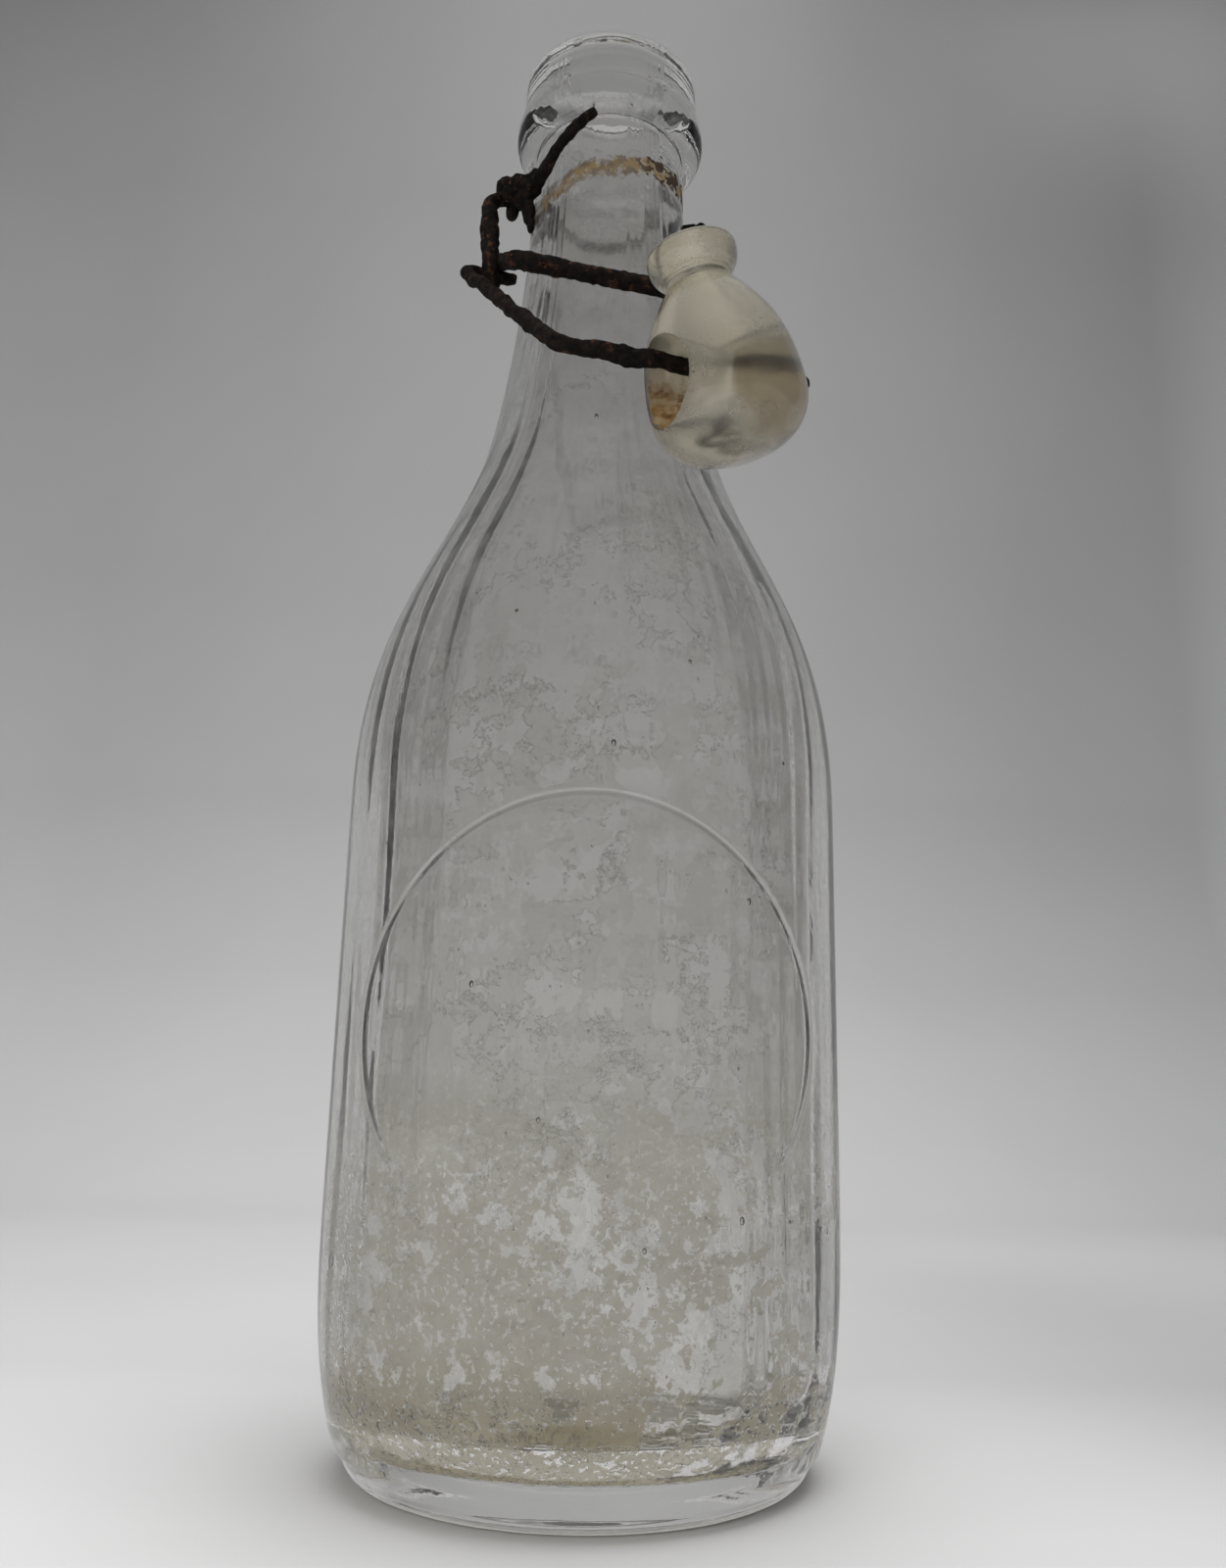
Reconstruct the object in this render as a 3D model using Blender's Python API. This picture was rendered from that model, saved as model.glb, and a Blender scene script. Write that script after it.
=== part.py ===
"""Pharmacy bottle with a swing closure: a mould-blown glass bottle with a tooled lip,
a tie wire round its neck, a lever and a bail of bent iron wire, and a solid glass stopper.

Metres, +Z up. The bottle stands on z = 0 with its axis on the Z axis, and the closure's
two hinges run along X, with the lever and the bail lying forward of the neck, towards -Y.
"""

from math import acos, asin, atan2, ceil, cos, hypot, pi, radians, sin, tan

import bpy
from mathutils import Matrix, Vector

# Bottle: outside
BODY_RADIUS = 0.0345
SHOULDER_Z = 0.0859
SHOULDER_HANDLE = 0.0258
TURN_RADIUS = 0.01865
TURN_Z = 0.1382
TURN_SLOPE = 0.34
TURN_HANDLE_BELOW = 0.0191
TURN_HANDLE_ABOVE = 0.0071
NECK_RADIUS = 0.01205
NECK_TOP_Z = 0.1956
NECK_HANDLE = 0.0260

# Bottle: lip, tooled on above the neck
BEAD_RADIUS = 0.0153
BEAD_HEIGHT = 0.0036
LIP_WAIST_RADIUS = 0.01435
LIP_WAIST_HEIGHT = 0.0085
LIP_HEIGHT = 0.0143
LIP_TOP_RADIUS = 0.01405
LIP_EDGE = 0.0011
LIP_HANDLE = Vector((0.0, 0.0021))

# Bottle: heel and base
HEEL_HEIGHT = 0.0340
HEEL_DRAW_IN = 0.0044
HEEL_POWER = 3.0
BASE_EDGE = 0.0030

# Bottle: inside
BODY_WALL = 0.0036
NECK_WALL = 0.0040
FLOOR_THICKNESS = 0.0050
FLOOR_CORNER = 0.0115
FLOOR_DOME = 0.0040
MOUTH_FLARE = 0.0011

# Bottle: the moulded ring on the front of the body
PLATE_RADIUS = 0.0276
PLATE_Z = 0.0541
PLATE_TURN = radians(-15.0)
PLATE_RIDGE = 0.0004
PLATE_RIDGE_WIDTH = 0.0010

# Wires
WIRE_RADIUS = 0.0010
TIE_WIRE_RADIUS = 0.00085
SEAT_GAP = 0.0003
WIRE_BEND = 0.0016

# Tie wire: rests on the neck below the lip, with an ear at each side
TIE_BELOW_LIP = 0.0080
TIE_NECK_SPREAD = 0.00025
TIE_FIRST_TURN = radians(14.0)
EAR_X = 0.0157
EAR_DROP = 0.0022
EAR_OPENING = radians(70.0)
EAR_STUB_RADIUS = 0.0016
TWIST_START_DROP = 0.0014
TWIST = ((201.0, 0.0020), (210.0, 0.0024))
BROKEN_END = (
    (216.0, 0.0014, -0.0010),
    (228.0, 0.0026, 0.0008),
    (239.0, 0.0040, 0.0022),
    (248.0, 0.0050, 0.0032),
)

# Lever: hangs from the ears, in front of the neck
LEVER_ARM_X = 0.0196
LEVER_PIN_END_X = 0.0145
LEVER_LOOP_PITCH = 0.0022
LEVER_REACH = 0.0163
LEVER_BOW = 0.0008
LEVER_DROP = 0.0219
LEVER_SHOULDER_BEND = 0.0026
LEVER_CORNER_BEND = 0.0030

# Bail: hangs from the lever's loops and runs through the stopper
BAIL_BACK = 0.0010
BAIL_DROP = 0.0147
BAIL_PIN_END_X = 0.0148
BAIL_HOOK_X = 0.0232
BAIL_LEFT_X = -0.0152
BAIL_RIGHT_X = 0.0199
BAIL_REACH = 0.0305
BAIL_FALL = 0.0294

# Stopper: solid glass, hangs flange up on the bail
STOPPER_X = 0.0080
STOPPER_LENGTH = 0.0304
STOPPER_RADIUS = 0.0107
STOPPER_WIDEST = 0.0238
CROWN_EDGE = 0.0068
CROWN_RISE = 0.0008
FLANGE_TOP_RADIUS = 0.0062
FLANGE_FOOT_RADIUS = 0.0054
FLANGE_HEIGHT = 0.0044
FLANGE_HOLLOW = 0.0003
FLANGE_EDGE = 0.0006
GROOVE_RADIUS = 0.0047
GROOVE_HEIGHT = 0.0016
GROOVE_SLOPE = 0.0003
CONE_TOP_RADIUS = 0.0053
CONE_HANDLE = 0.0078
CONE_TOP_HANDLE = Vector((0.0042, -0.0052))
HOLE_DEPTH = 0.0192
HOLE_THROAT = 0.0024
HOLE_FLARE = 0.40
HOLE_THROAT_ROUND = 0.0004
HOLE_OVERRUN = 1.3
STOPPER_TILT = radians(-16.0)
STOPPER_YAW = radians(10.0)

# Facets
BOTTLE_SEGMENTS = 56
STOPPER_SEGMENTS = 40
HOLE_SEGMENTS = 28
FACET_ARC = radians(24.0)
HEEL_SHARES = (0.88, 0.76, 0.62, 0.46, 0.26, 0.0)
SHOULDER_STEPS = 9
NECK_STEPS = 9
LIP_STEPS = 4
DOME_STEPS = 5
PLATE_STEPS = 48
TIE_STEPS = 14
CONE_STEPS = 7
HOLE_STEPS = 8

# Places that follow from the sizes above
TIE_Z = NECK_TOP_Z - TIE_BELOW_LIP
PIVOT = Vector((0.0, 0.0, TIE_Z - EAR_DROP))
HOOK = PIVOT + Vector((0.0, -BAIL_BACK, -BAIL_DROP))
CROSS = HOOK + Vector((0.0, -BAIL_REACH, -BAIL_FALL))
LIP_TOP_Z = NECK_TOP_Z + LIP_HEIGHT


def clear_scene():
    """Remove whatever the file holds."""
    for old in list(bpy.data.objects):
        bpy.data.objects.remove(old, do_unlink=True)


def material(name, color, roughness, metallic=0.0, transmission=0.0, ior=1.5):
    """A Principled material for one piece."""
    made = bpy.data.materials.new(name)
    made.use_nodes = True
    shader = made.node_tree.nodes["Principled BSDF"]
    shader.inputs["Base Color"].default_value = (*color, 1.0)
    shader.inputs["Roughness"].default_value = roughness
    shader.inputs["Metallic"].default_value = metallic
    shader.inputs["Transmission Weight"].default_value = transmission
    shader.inputs["IOR"].default_value = ior
    made.diffuse_color = (*color, 1.0)
    return made


def bezier(start, handle_a, handle_b, end, steps):
    """Points of a cubic curve, without its first point."""
    points = []
    for i in range(1, steps + 1):
        t = i / steps
        s = 1.0 - t
        near = start * s**3 + handle_a * 3 * s * s * t
        far = handle_b * 3 * s * t * t + end * t**3
        points.append(near + far)
    return points


def arc(centre, radius, start, end):
    """Points of an arc in a profile's plane, both ends included."""
    steps = max(1, ceil(abs(end - start) / FACET_ARC))
    points = []
    for i in range(steps + 1):
        angle = start + (end - start) * i / steps
        points.append(Vector((centre[0] + radius * cos(angle), centre[1] + radius * sin(angle))))
    return points


def lathe(name, profile, segments):
    """Mesh object turned from a profile of (radius, height) that starts and ends on the axis."""
    columns = []
    vertices = []
    for radius, height in profile:
        if radius < 1e-7:
            columns.append([len(vertices)] * segments)
            vertices.append((0.0, 0.0, height))
            continue
        columns.append(list(range(len(vertices), len(vertices) + segments)))
        for i in range(segments):
            angle = 2 * pi * i / segments
            vertices.append((radius * cos(angle), radius * sin(angle), height))
    faces = []
    for low, high in zip(columns, columns[1:]):
        for i in range(segments):
            j = (i + 1) % segments
            corners = [low[i], low[j], high[j], high[i]]
            faces.append(tuple(dict.fromkeys(corners)))
    mesh = bpy.data.meshes.new(name)
    mesh.from_pydata(vertices, [], faces)
    mesh.validate()
    turned = bpy.data.objects.new(name, mesh)
    bpy.context.collection.objects.link(turned)
    return turned


def bent(corners, radius):
    """Path through the corners with each inner corner bent to a radius."""
    path = [corners[0]]
    for before, corner, after in zip(corners, corners[1:], corners[2:]):
        back = (before - corner).normalized()
        ahead = (after - corner).normalized()
        turn = pi - back.angle(ahead)
        reach = radius * tan(turn / 2)
        centre = corner + (back + ahead).normalized() * (radius / cos(turn / 2))
        first = corner + back * reach - centre
        last = corner + ahead * reach - centre
        steps = max(1, ceil(turn / FACET_ARC))
        for i in range(steps + 1):
            share = i / steps
            path.append(centre + first.slerp(last, share) * radius)
    path.append(corners[-1])
    return path


def mirrored(path):
    """The path's copy on the other side, from its far end back."""
    return [Vector((-point.x, point.y, point.z)) for point in reversed(path)]


def wire(name, path, radius):
    """Round wire along a path, with flat cut ends, as a curve object."""
    curve = bpy.data.curves.new(name, "CURVE")
    curve.dimensions = "3D"
    curve.bevel_depth = radius
    curve.bevel_resolution = 2
    curve.use_fill_caps = True
    spline = curve.splines.new("POLY")
    spline.points.add(len(path) - 1)
    for place, point in zip(spline.points, path):
        place.co = (*point, 1.0)
    made = bpy.data.objects.new(name, curve)
    bpy.context.collection.objects.link(made)
    return made


def as_mesh(made):
    """Turn a curve object into a mesh object of the same name."""
    name = made.name
    bpy.context.view_layer.update()
    evaluated = made.evaluated_get(bpy.context.evaluated_depsgraph_get())
    mesh = bpy.data.meshes.new_from_object(evaluated)
    bpy.data.objects.remove(made, do_unlink=True)
    solid = bpy.data.objects.new(name, mesh)
    bpy.context.collection.objects.link(solid)
    return solid


def boolean(target, tool, operation):
    """Join a hidden tool to the target, or cut it from it."""
    tool.hide_render = True
    tool.display_type = "WIRE"
    step = target.modifiers.new(tool.name, "BOOLEAN")
    step.operation = operation
    step.solver = "EXACT"
    step.object = tool


def finish(piece, made_of):
    """Give a piece its material and smooth shading."""
    piece.data.materials.clear()
    piece.data.materials.append(made_of)
    if piece.type == "MESH":
        piece.data.shade_smooth()
        piece.data.set_sharp_from_angle(angle=radians(40.0))


def hang(piece, origin):
    """Put a piece's origin on its joint's axis, with its shape left in place."""
    piece.data.transform(Matrix.Translation(-origin))
    piece.location = origin


def outer_curve():
    """The shoulder and neck, from the top of the straight body up to the lip."""
    slope = Vector((-TURN_SLOPE, 1.0)).normalized()
    start = Vector((BODY_RADIUS, SHOULDER_Z))
    turn = Vector((TURN_RADIUS, TURN_Z))
    top = Vector((NECK_RADIUS, NECK_TOP_Z))
    body_handle = start + Vector((0.0, SHOULDER_HANDLE))
    neck_handle = top - Vector((0.0, NECK_HANDLE))
    shoulder = bezier(start, body_handle, turn - slope * TURN_HANDLE_BELOW, turn, SHOULDER_STEPS)
    neck = bezier(turn, turn + slope * TURN_HANDLE_ABOVE, neck_handle, top, NECK_STEPS)
    return [start] + shoulder + neck


def bottle_profile():
    """The glass from the middle of its base, up its outside, and down inside to its floor."""
    heel_foot = BODY_RADIUS - HEEL_DRAW_IN
    base = [Vector((0.0, 0.0))]
    base += arc((heel_foot - BASE_EDGE, BASE_EDGE), BASE_EDGE, -pi / 2, -pi / 12)
    heel = []
    for share in HEEL_SHARES:
        height = HEEL_HEIGHT * (1.0 - share)
        heel.append(Vector((BODY_RADIUS - HEEL_DRAW_IN * share**HEEL_POWER, height)))
    outside = outer_curve()
    bead_z = NECK_TOP_Z + BEAD_HEIGHT
    bead_depth = BEAD_RADIUS - NECK_RADIUS
    bead = []
    for i in range(1, LIP_STEPS + 1):
        angle = pi / 2 * i / LIP_STEPS
        radius = NECK_RADIUS + bead_depth * sin(angle)
        bead.append(Vector((radius, bead_z - BEAD_HEIGHT * cos(angle))))
    waist = Vector((LIP_WAIST_RADIUS, NECK_TOP_Z + LIP_WAIST_HEIGHT))
    bead += bezier(bead[-1], bead[-1] + LIP_HANDLE, waist - LIP_HANDLE, waist, LIP_STEPS)
    edge = arc((LIP_TOP_RADIUS - LIP_EDGE, LIP_TOP_Z - LIP_EDGE), LIP_EDGE, 0.0, pi / 2)
    bore = NECK_RADIUS - NECK_WALL
    mouth = arc((bore + MOUTH_FLARE, LIP_TOP_Z - MOUTH_FLARE), MOUTH_FLARE, pi / 2, pi)
    inside = []
    for point in reversed(outside):
        share = (point.x - NECK_RADIUS) / (BODY_RADIUS - NECK_RADIUS)
        inside.append(Vector((point.x - NECK_WALL + (NECK_WALL - BODY_WALL) * share, point.y)))
    cavity = BODY_RADIUS - BODY_WALL
    corner = arc((cavity - FLOOR_CORNER, FLOOR_THICKNESS + FLOOR_CORNER), FLOOR_CORNER, 0.0, -pi / 2)
    floor = []
    for i in range(1, DOME_STEPS + 1):
        share = i / DOME_STEPS
        rise = FLOOR_DOME * (0.5 - 0.5 * cos(pi * share))
        floor.append(Vector(((cavity - FLOOR_CORNER) * (1.0 - share), FLOOR_THICKNESS + rise)))
    return base + heel + outside + bead + edge + mouth + inside + corner + floor


def plate_ring():
    """The raised ring that the round mould plate leaves, a true circle seen from the front."""
    path = []
    depth = BODY_RADIUS - PLATE_RIDGE_WIDTH + PLATE_RIDGE
    for i in range(PLATE_STEPS):
        angle = 2 * pi * i / PLATE_STEPS
        side = asin(PLATE_RADIUS * cos(angle) / BODY_RADIUS) + PLATE_TURN - pi / 2
        height = PLATE_Z + PLATE_RADIUS * sin(angle)
        path.append(Vector((depth * cos(side), depth * sin(side), height)))
    ring = wire("plate_ring", path, PLATE_RIDGE_WIDTH)
    ring.data.splines[0].use_cyclic_u = True
    ring.data.bevel_resolution = 1
    return as_mesh(ring)


def bottle(glass):
    """The bottle: one piece of glass with its inside open to the mouth."""
    body = lathe("bottle", bottle_profile(), BOTTLE_SEGMENTS)
    boolean(body, plate_ring(), "UNION")
    finish(body, glass)


def tie_ear(side):
    """Open eye in the tie wire that a pin of the lever turns in."""
    radius = WIRE_RADIUS + SEAT_GAP + TIE_WIRE_RADIUS
    sweep = 2 * pi - EAR_OPENING
    steps = ceil(sweep / FACET_ARC)
    path = []
    for i in range(steps + 1):
        angle = sweep * i / steps
        path.append(PIVOT + Vector((side * EAR_X, -radius * sin(angle), radius * cos(angle))))
    return path


def neck_wire(iron):
    """The tie wire: an ear at each side, the run behind the neck, and the sprung broken end."""
    ring_radius = NECK_RADIUS + TIE_NECK_SPREAD + SEAT_GAP + TIE_WIRE_RADIUS
    grip_z = PIVOT.z + WIRE_RADIUS + SEAT_GAP + TIE_WIRE_RADIUS
    ring = []
    for i in range(TIE_STEPS + 1):
        angle = TIE_FIRST_TURN + (pi - 2 * TIE_FIRST_TURN) * i / TIE_STEPS
        ring.append(Vector((ring_radius * cos(angle), ring_radius * sin(angle), grip_z)))
    right = tie_ear(1)
    left = tie_ear(-1)
    path = list(reversed(right)) + ring + left
    tie = as_mesh(wire("neck_wire", path, TIE_WIRE_RADIUS))

    stub_radius = ring_radius + EAR_STUB_RADIUS - TIE_WIRE_RADIUS
    clear_of_pin = WIRE_RADIUS + SEAT_GAP + EAR_STUB_RADIUS
    stub = [Vector((-EAR_X, -clear_of_pin, grip_z - TWIST_START_DROP))]
    for turn, down in TWIST:
        angle = radians(turn)
        stub.append(Vector((stub_radius * cos(angle), stub_radius * sin(angle), grip_z - down)))
    boolean(tie, as_mesh(wire("tie_twist", stub, EAR_STUB_RADIUS)), "UNION")

    sprung = [stub[-2]]
    for turn, out, up in BROKEN_END:
        angle = radians(turn)
        radius = ring_radius + out
        sprung.append(Vector((radius * cos(angle), radius * sin(angle), grip_z + up)))
    boolean(tie, as_mesh(wire("tie_broken_end", sprung, TIE_WIRE_RADIUS)), "UNION")
    finish(tie, iron)


def lever(iron):
    """The lever: pins in the ears, arms with a loop for the bail, and a run across the front."""
    loop_radius = WIRE_RADIUS * 2 + SEAT_GAP
    corner = PIVOT + Vector((LEVER_ARM_X - LEVER_LOOP_PITCH, -LEVER_REACH, -LEVER_DROP))
    to_pivot = PIVOT - HOOK
    to_corner = corner - HOOK
    start = atan2(-to_pivot.y, to_pivot.z) + acos(loop_radius / hypot(to_pivot.y, to_pivot.z))
    end = atan2(-to_corner.y, to_corner.z) - acos(loop_radius / hypot(to_corner.y, to_corner.z))
    end += 2 * pi
    steps = ceil((end - start) / FACET_ARC)
    loop = []
    for i in range(steps + 1):
        share = i / steps
        angle = start + (end - start) * share
        across = LEVER_ARM_X - LEVER_LOOP_PITCH * share
        loop.append(HOOK + Vector((across, -loop_radius * sin(angle), loop_radius * cos(angle))))
    pin_end = PIVOT + Vector((LEVER_PIN_END_X, 0.0, 0.0))
    shoulder = PIVOT + Vector((LEVER_ARM_X, 0.0, 0.0))
    middle = Vector((0.0, corner.y - LEVER_BOW, corner.z - LEVER_BOW))
    pin = bent([pin_end, shoulder, loop[0]], LEVER_SHOULDER_BEND)
    run = bent([loop[-1], corner, middle], LEVER_CORNER_BEND)
    half = pin + loop[1:-1] + run
    piece = wire("lever", half + mirrored(half[:-1]), WIRE_RADIUS)
    hang(piece, PIVOT)
    finish(piece, iron)


def bail(iron):
    """The bail: a pin through each of the lever's loops, two arms and the cross wire."""
    corners = [
        HOOK + Vector((-BAIL_PIN_END_X, 0.0, 0.0)),
        HOOK + Vector((-BAIL_HOOK_X, 0.0, 0.0)),
        CROSS + Vector((BAIL_LEFT_X, 0.0, 0.0)),
        CROSS + Vector((BAIL_RIGHT_X, 0.0, 0.0)),
        HOOK + Vector((BAIL_HOOK_X, 0.0, 0.0)),
        HOOK + Vector((BAIL_PIN_END_X, 0.0, 0.0)),
    ]
    piece = wire("bail", bent(corners, WIRE_BEND), WIRE_RADIUS)
    hang(piece, HOOK)
    finish(piece, iron)


def stopper_profile():
    """The stopper from the middle of its crown up to the top of its flange."""
    cone_top = STOPPER_LENGTH - FLANGE_HEIGHT - GROOVE_HEIGHT
    widest = STOPPER_LENGTH - STOPPER_WIDEST
    crown = [Vector((0.0, 0.0))]
    crown_centre = (STOPPER_RADIUS - CROWN_EDGE, CROWN_EDGE + CROWN_RISE)
    crown += arc(crown_centre, CROWN_EDGE, -pi / 2, -pi / 18)
    side = Vector((STOPPER_RADIUS, widest + CROWN_RISE))
    top = Vector((CONE_TOP_RADIUS, cone_top))
    lean = Vector((0.0, CONE_HANDLE))
    cone = [side] + bezier(side, side + lean, top + CONE_TOP_HANDLE, top, CONE_STEPS)
    flange_foot = cone_top + GROOVE_HEIGHT
    groove = [
        Vector((GROOVE_RADIUS, cone_top + GROOVE_SLOPE)),
        Vector((GROOVE_RADIUS, flange_foot - GROOVE_SLOPE)),
        Vector((FLANGE_FOOT_RADIUS, flange_foot)),
    ]
    waist_radius = (FLANGE_FOOT_RADIUS + FLANGE_TOP_RADIUS) / 2 - FLANGE_HOLLOW
    waist = Vector((waist_radius, flange_foot + FLANGE_HEIGHT / 2))
    rim_centre = (FLANGE_TOP_RADIUS - FLANGE_EDGE, STOPPER_LENGTH - FLANGE_EDGE)
    rim = arc(rim_centre, FLANGE_EDGE, 0.0, pi / 2)
    return crown + cone + groove + [waist] + rim + [Vector((0.0, STOPPER_LENGTH))]


def stopper_hole():
    """Cutter for the cross hole, which opens out towards both mouths."""
    reach = STOPPER_RADIUS * HOLE_OVERRUN
    profile = []
    for i in range(-HOLE_STEPS, HOLE_STEPS + 1):
        along = reach * i / HOLE_STEPS
        widening = hypot(along, HOLE_THROAT_ROUND) - HOLE_THROAT_ROUND
        profile.append(Vector((HOLE_THROAT + HOLE_FLARE * widening, along)))
    profile = [Vector((0.0, -reach))] + profile + [Vector((0.0, reach))]
    cutter = lathe("stopper_hole", profile, HOLE_SEGMENTS)
    cutter.data.transform(Matrix.Rotation(pi / 2, 4, "Y"))
    return cutter


def stopper(glass):
    """The glass stopper, with its origin on the wire that it hangs from."""
    piece = lathe("stopper", stopper_profile(), STOPPER_SEGMENTS)
    hole_z = STOPPER_LENGTH - HOLE_DEPTH
    seat = HOLE_THROAT - WIRE_RADIUS - SEAT_GAP
    piece.data.transform(Matrix.Translation((0.0, 0.0, -hole_z)))
    cutter = stopper_hole()
    pose = Matrix.Rotation(STOPPER_YAW, 4, "Z") @ Matrix.Rotation(STOPPER_TILT, 4, "Y")
    drop = Matrix.Translation((0.0, 0.0, -seat))
    for part in (piece, cutter):
        part.data.transform(drop @ pose)
        part.location = CROSS + Vector((STOPPER_X, 0.0, 0.0))
    boolean(piece, cutter, "DIFFERENCE")
    finish(piece, glass)


def build():
    """Make every piece of the bottle."""
    clear_scene()
    clear_glass = material("clear_glass", (0.78, 0.77, 0.79), 0.06, transmission=0.9)
    straw_glass = material("straw_glass", (0.86, 0.80, 0.62), 0.08, transmission=0.85)
    rusted_iron = material("rusted_iron", (0.075, 0.045, 0.032), 0.82, metallic=0.35)
    bottle(clear_glass)
    neck_wire(rusted_iron)
    lever(rusted_iron)
    bail(rusted_iron)
    stopper(straw_glass)


build()
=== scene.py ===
from math import acos, atan2, ceil, cos, exp, hypot, pi, radians, sin, tan

import bmesh
import bpy
from mathutils import Matrix, Vector, noise


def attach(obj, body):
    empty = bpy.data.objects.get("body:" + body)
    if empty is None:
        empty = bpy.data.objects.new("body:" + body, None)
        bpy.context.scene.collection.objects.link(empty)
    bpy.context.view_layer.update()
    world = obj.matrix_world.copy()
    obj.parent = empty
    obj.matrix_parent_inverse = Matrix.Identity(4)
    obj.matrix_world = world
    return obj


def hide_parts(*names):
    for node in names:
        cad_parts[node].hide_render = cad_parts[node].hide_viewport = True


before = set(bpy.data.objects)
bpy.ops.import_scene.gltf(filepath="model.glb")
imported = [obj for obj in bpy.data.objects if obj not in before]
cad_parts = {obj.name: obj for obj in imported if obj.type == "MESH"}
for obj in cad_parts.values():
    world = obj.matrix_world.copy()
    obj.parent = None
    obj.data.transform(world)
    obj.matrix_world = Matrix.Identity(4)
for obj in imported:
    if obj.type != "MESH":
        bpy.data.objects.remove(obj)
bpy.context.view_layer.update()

# The bottle: clear glass blown in a mould, with the lip tooled on by hand, so its walls are
# a little uneven and drawn out in upright streaks. A round mould plate left a fine ring on
# its front, the base is pushed up, and a dull film has dried on the inside.

BODY_RADIUS = 0.0345
NECK_RADIUS = 0.01205
NECK_TOP = 0.1956
LIP_TOP = 0.2099
LIP_EDGE = 0.0011
LIP_STEP = 0.00325
LIP_STEP_RISE = 0.0036
NECK_WALL = 0.0040
BORE_RADIUS = 0.00805
INSIDE_RADIUS = 0.0309
SHOULDER_Z = 0.0859
FLOOR_Z = 0.0050
FLOOR_DOME = 0.0040
FLOOR_RADIUS = 0.0194
FLOOR_CORNER = 0.0115
BASE_PUSH_UP = 0.0026
FOOT_RADIUS = 0.0262
FOOT_EDGE = 0.0030
HEEL_HEIGHT = 0.0340
HEEL_DRAW_IN = 0.0044
STRAIGHT_RISE = 0.0060
PLATE_Z = 0.0541
PLATE_RADIUS = 0.0276
PLATE_FOOT = -0.0170
PLATE_FADE = 0.0055
PLATE_LOW = 0.0300
PLATE_HIGH = 0.0860
RING_WIDTH = 0.00042
RING_HEIGHT = 0.00023
RIM_ROWS = 5
PLATE_BEARING = radians(-105.0)


def curve_points(start, lean_a, lean_b, end, steps):
    """Points along a smooth curve, without its first."""
    points = []
    for i in range(1, steps + 1):
        t = i / steps
        s = 1.0 - t
        points.append(start * s**3 + lean_a * 3 * s * s * t + lean_b * 3 * s * t * t + end * t**3)
    return points


def round_points(centre, radius, start, end, steps):
    """Points along a round edge, both ends included."""
    turned = []
    for i in range(steps + 1):
        angle = start + (end - start) * i / steps
        turned.append(Vector((centre[0] + radius * cos(angle), centre[1] + radius * sin(angle))))
    return turned


def shoulder_and_neck():
    """The outside from the top of the body, through the turn of the shoulder, to under the lip."""
    slope = Vector((-0.34, 1.0)).normalized()
    start = Vector((BODY_RADIUS, SHOULDER_Z))
    turn = Vector((0.01865, 0.1382))
    top = Vector((NECK_RADIUS, NECK_TOP))
    low = curve_points(start, start + Vector((0.0, 0.0258)), turn - slope * 0.0191, turn, 42)
    high = curve_points(turn, turn + slope * 0.0071, top - Vector((0.0, 0.0260)), top, 42)
    return [start] + low + high


def outside_line():
    """The outside of the glass, from the middle of the base up to the top of the lip."""
    line = []
    for i in range(25):
        share = i / 24
        line.append(Vector((FOOT_RADIUS * share, BASE_PUSH_UP * (0.5 + 0.5 * cos(share * pi)))))
    line += round_points((0.0271, FOOT_EDGE), FOOT_EDGE, -pi / 2, -pi / 12, 8)
    for i in range(19):
        share = 0.88 * (1.0 - i / 18)
        line.append(Vector((BODY_RADIUS - HEEL_DRAW_IN * share**3, HEEL_HEIGHT * (1.0 - share))))
    for i in range(1, 7):
        line.append(Vector((BODY_RADIUS, HEEL_HEIGHT + STRAIGHT_RISE * i / 6)))
    for i in range(1, 146):
        line.append(Vector((BODY_RADIUS, HEEL_HEIGHT + STRAIGHT_RISE + 0.0435 * i / 145)))
    line += shoulder_and_neck()
    for i in range(1, 11):
        angle = pi / 2 * i / 10
        rise = LIP_STEP_RISE - LIP_STEP_RISE * cos(angle)
        line.append(Vector((NECK_RADIUS + LIP_STEP * sin(angle), NECK_TOP + rise)))
    waist = Vector((0.01435, NECK_TOP + 0.0085))
    lean = Vector((0.0, 0.0021))
    line += curve_points(line[-1], line[-1] + lean, waist - lean, waist, 10)
    line += round_points((0.01295, LIP_TOP - LIP_EDGE), LIP_EDGE, 0.0, pi / 2, 7)
    return line


def inside_line():
    """The inside of the glass, from the mouth down to the middle of the floor."""
    line = round_points((0.00915, LIP_TOP - LIP_EDGE), LIP_EDGE, pi / 2, pi, 6)
    for i in range(1, 14):
        line.append(Vector((BORE_RADIUS, LIP_TOP - LIP_EDGE - 0.0132 * i / 14)))
    for point in reversed(shoulder_and_neck()):
        share = (point.x - NECK_RADIUS) / (BODY_RADIUS - NECK_RADIUS)
        line.append(Vector((point.x - NECK_WALL + 0.0004 * share, point.y)))
    for i in range(1, 40):
        line.append(Vector((INSIDE_RADIUS, SHOULDER_Z - 0.0694 * i / 40)))
    line += round_points((FLOOR_RADIUS, FLOOR_Z + FLOOR_CORNER), FLOOR_CORNER, 0.0, -pi / 2, 24)
    for i in range(1, 26):
        share = 1.0 - i / 26
        line.append(Vector((FLOOR_RADIUS * share, FLOOR_Z + FLOOR_DOME * (0.5 + 0.5 * cos(share * pi)))))
    line.append(Vector((0.0, FLOOR_Z + FLOOR_DOME)))
    return line


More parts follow.
